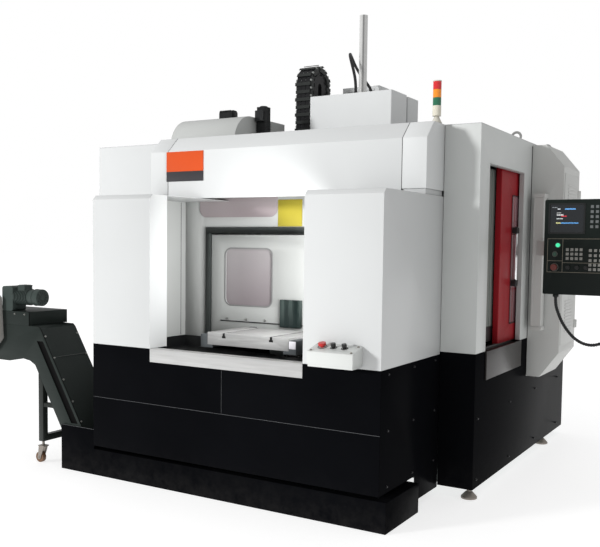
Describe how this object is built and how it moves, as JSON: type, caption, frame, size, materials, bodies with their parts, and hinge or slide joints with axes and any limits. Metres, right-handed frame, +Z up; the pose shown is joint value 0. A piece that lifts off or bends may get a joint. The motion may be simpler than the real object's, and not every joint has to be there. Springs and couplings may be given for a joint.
{
  "type": "vertical machining centre",
  "caption": "Enclosed vertical machining centre with a pallet changer in its loading bay, side door, roof-mounted tool magazine, chip conveyor and swinging operator pendant.",
  "frame": {"origin": "on the floor, under the middle of the whole machine's box, in the middle plane of the spindle and the pallets", "axes": "+X from the chip conveyor at the left to the operator pendant at the right, +Y from the loading opening to the rear, +Z up"},
  "size_m": [4.4, 3.232, 3.29],
  "materials": {
    "white_paint": "smooth semi-gloss white paint",
    "grey_paint": "satin light grey-green paint",
    "light_grey_paint": "satin light grey paint",
    "black_paint": "gloss black paint",
    "matt_black": "satin black paint",
    "red_paint": "gloss red paint",
    "conveyor_green": "satin dark green-grey paint",
    "motor_grey": "satin greenish grey paint",
    "cast_iron": "painted casting, machined seats",
    "machined_steel": "ground and milled steel",
    "bright_steel": "polished steel",
    "aluminium_tube": "drawn tube",
    "glass": "clear sheet",
    "window_mauve": "tinted clear sheet",
    "seal_rubber": "dull rubber",
    "black_rubber": "smooth hose rubber",
    "chain_plastic": "moulded nylon",
    "lamp_plastic": "translucent lamp lenses on an ivory body",
    "pendant_plastic": "fine-textured dark shell",
    "panel_keys": "membrane keys and display",
    "green_button": "lit green cap",
    "red_button": "red mushroom cap",
    "dark_button": "black ring, grey top",
    "caster_tyre": "brownish polyurethane",
    "zinc_steel": "zinc-plated pressed steel",
    "cabinet_paint": "satin pale lavender-grey paint"
  },
  "bodies": {
    "machine": {"axis_fittings": "machined_steel", "base_panels": "black_paint", "bay_tray": "matt_black", "bay_walls": "grey_paint", "beam_covers": "white_paint", "bed_casting": "cast_iron", "button_box": "light_grey_paint", "cabinet_shell": "cabinet_paint", "column_casting": "cast_iron", "conveyor_casing": "conveyor_green", "conveyor_gearmotor": "motor_grey", "conveyor_stand": "conveyor_green", "coolant_tank": "black_paint", "energy_chain": "chain_plastic", "guide_tube": "aluminium_tube", "head_cover": "white_paint", "hose_loop": "black_rubber", "left_and_rear_walls": "grey_paint", "levelling_feet": "machined_steel", "magazine_drive": "matt_black", "magazine_hood": "light_grey_paint", "partition_seal": "seal_rubber", "pillar_covers": "white_paint", "roof_covers": "white_paint", "side_wall_right": "grey_paint", "signal_tower": "lamp_plastic", "sills_and_tracks": "bright_steel", "upper_window": "glass"},
    "operator_door": {"operator_door": "red_paint", "door_window": "glass", "door_handle": "bright_steel"},
    "cabinet_door": {"cabinet_door": "cabinet_paint"},
    "saddle": {"saddle": "cast_iron"},
    "work_table": {"work_table": "cast_iron"},
    "x_ball_screw": {"x_ball_screw": "bright_steel"},
    "y_ball_screw": {"y_ball_screw": "bright_steel"},
    "z_ball_screw": {"z_ball_screw": "bright_steel"},
    "spindle_head": {"spindle_head": "light_grey_paint"},
    "spindle": {"spindle": "machined_steel"},
    "magazine_disc": {"magazine_disc": "machined_steel"},
    "tool_change_arm": {"tool_change_arm": "machined_steel"},
    "lift_shaft": {"lift_shaft": "bright_steel"},
    "changer_arm": {"changer_arm": "light_grey_paint", "pallets": "machined_steel", "partition_panel": "light_grey_paint", "partition_windows": "window_mauve"},
    "pendant_arm": {"pendant_arm": "matt_black"},
    "pendant": {"pendant_housing": "pendant_plastic", "pendant_face": "panel_keys", "pendant_conduit": "black_rubber"},
    "pendant_start_button": {"pendant_start_button": "green_button"},
    "pendant_hold_button": {"pendant_hold_button": "dark_button"},
    "pendant_stop_button": {"pendant_stop_button": "red_button"},
    "box_stop_button": {"box_stop_button": "red_button"},
    "box_button_left": {"box_button_left": "dark_button"},
    "box_button_right": {"box_button_right": "dark_button"},
    "caster_fork_front": {"caster_fork_front": "zinc_steel"},
    "caster_fork_rear": {"caster_fork_rear": "zinc_steel"},
    "caster_wheel_front": {"caster_wheel_front": "caster_tyre"},
    "caster_wheel_rear": {"caster_wheel_rear": "caster_tyre"}
  },
  "joints": [
    {"name": "y_axis", "type": "slide", "parent": "machine", "child": "saddle", "axis": [0, 1, 0], "range_m": [0, 0.4]},
    {"name": "x_axis", "type": "slide", "parent": "saddle", "child": "work_table", "axis": [1, 0, 0], "range_m": [-0.25, 0.25]},
    {"name": "z_axis", "type": "slide", "parent": "machine", "child": "spindle_head", "axis": [0, 0, 1], "range_m": [-0.5, 0]},
    {"name": "x_screw_turn", "type": "hinge", "parent": "saddle", "child": "x_ball_screw", "pos_m": [0, -0.261, 0.7053], "axis": [1, 0, 0], "range_deg": [-5700, 5700]},
    {"name": "y_screw_turn", "type": "hinge", "parent": "machine", "child": "y_ball_screw", "pos_m": [0, 0, 0.575], "axis": [0, 1, 0], "range_deg": [-100, 9100]},
    {"name": "z_screw_turn", "type": "hinge", "parent": "machine", "child": "z_ball_screw", "pos_m": [0, 0.5, 1.7], "axis": [0, 0, 1], "range_deg": [-11400, 100]},
    {"name": "spindle_spin", "type": "hinge", "parent": "spindle_head", "child": "spindle", "pos_m": [0, -0.06, 1.7], "axis": [0, 0, 1], "continuous": true},
    {"name": "magazine_turn", "type": "hinge", "parent": "machine", "child": "magazine_disc", "pos_m": [-0.86, -0.06, 1.995], "axis": [1, 0, 0], "continuous": true},
    {"name": "tool_arm_turn", "type": "hinge", "parent": "machine", "child": "tool_change_arm", "pos_m": [-0.3, -0.06, 1.8], "axis": [0, 0, 1], "range_deg": [0, 270]},
    {"name": "changer_lift", "type": "slide", "parent": "machine", "child": "lift_shaft", "axis": [0, 0, 1], "range_m": [-0.06, 0]},
    {"name": "changer_turn", "type": "hinge", "parent": "lift_shaft", "child": "changer_arm", "pos_m": [0, -0.642, 0.85], "axis": [0, 0, 1], "range_deg": [0, 180]},
    {"name": "operator_door_slide", "type": "slide", "parent": "machine", "child": "operator_door", "axis": [0, 1, 0], "range_m": [-0.421, 0.37]},
    {"name": "cabinet_door_hinge", "type": "hinge", "parent": "machine", "child": "cabinet_door", "pos_m": [1.513, 0.933, 1.47], "axis": [0, 0, 1], "range_deg": [0, 110]},
    {"name": "pendant_swing", "type": "hinge", "parent": "machine", "child": "pendant_arm", "pos_m": [1.357, 0.417, 1.45], "axis": [0, 0, 1], "range_deg": [-15, 45]},
    {"name": "pendant_turn", "type": "hinge", "parent": "pendant_arm", "child": "pendant", "pos_m": [1.887, -0.15, 1.56], "axis": [0, 0, 1], "range_deg": [-30, 30]},
    {"name": "start_button_press", "type": "slide", "parent": "pendant", "child": "pendant_start_button", "axis": [0, 1, 0], "range_m": [0, 0.004], "stiffness_N_per_m": 700},
    {"name": "hold_button_press", "type": "slide", "parent": "pendant", "child": "pendant_hold_button", "axis": [0, 1, 0], "range_m": [0, 0.004], "stiffness_N_per_m": 700},
    {"name": "pendant_stop_press", "type": "slide", "parent": "pendant", "child": "pendant_stop_button", "axis": [0, 1, 0], "range_m": [0, 0.006], "stiffness_N_per_m": 900},
    {"name": "box_stop_press", "type": "slide", "parent": "machine", "child": "box_stop_button", "axis": [0, 0.2726, -0.9621], "range_m": [0, 0.004], "stiffness_N_per_m": 900},
    {"name": "box_left_press", "type": "slide", "parent": "machine", "child": "box_button_left", "axis": [0, 0.2726, -0.9621], "range_m": [0, 0.004], "stiffness_N_per_m": 700},
    {"name": "box_right_press", "type": "slide", "parent": "machine", "child": "box_button_right", "axis": [0, 0.2726, -0.9621], "range_m": [0, 0.004], "stiffness_N_per_m": 700},
    {"name": "caster_swivel_front", "type": "hinge", "parent": "machine", "child": "caster_fork_front", "pos_m": [-1.585, -1.4382, 0.12], "axis": [0, 0, 1], "continuous": true},
    {"name": "caster_swivel_rear", "type": "hinge", "parent": "machine", "child": "caster_fork_rear", "pos_m": [-1.585, -1.1535, 0.12], "axis": [0, 0, 1], "continuous": true},
    {"name": "caster_roll_front", "type": "hinge", "parent": "caster_fork_front", "child": "caster_wheel_front", "pos_m": [-1.61, -1.4382, 0.0375], "axis": [0, 1, 0], "continuous": true},
    {"name": "caster_roll_rear", "type": "hinge", "parent": "caster_fork_rear", "child": "caster_wheel_rear", "pos_m": [-1.61, -1.1535, 0.0375], "axis": [0, 1, 0], "continuous": true}
  ],
  "couplings": [
    {"joint": "x_screw_turn", "follows": "x_axis", "rad_per_m": 392.7},
    {"joint": "y_screw_turn", "follows": "y_axis", "rad_per_m": 392.7},
    {"joint": "z_screw_turn", "follows": "z_axis", "rad_per_m": 392.7}
  ]
}
